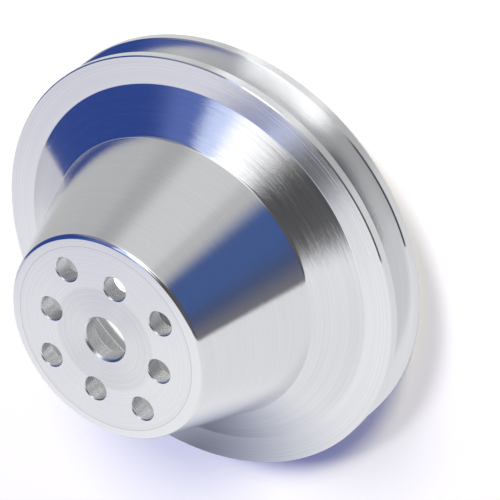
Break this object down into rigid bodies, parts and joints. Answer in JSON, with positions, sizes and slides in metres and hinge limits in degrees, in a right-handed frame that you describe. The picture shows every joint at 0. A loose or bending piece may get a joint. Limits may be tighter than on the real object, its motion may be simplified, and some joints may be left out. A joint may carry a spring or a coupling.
{
  "type": "V-belt pulley",
  "caption": "Deep-offset V-belt pulley turned from one piece of aluminium, with a tapered hub, a central bore and two bolt circles.",
  "frame": {"origin": "centre of the rim's flat back face, which the pulley stands on", "axes": "+Z along the pulley's axis, from the rim's back face to the hub's mounting face; +X through one hole of the outer bolt circle"},
  "size_m": [0.1588, 0.1588, 0.0725],
  "materials": {
    "turned_aluminium": "bright turned metal with fine tool rings"
  },
  "bodies": {
    "root": {"pulley": "turned_aluminium"}
  },
  "joints": []
}
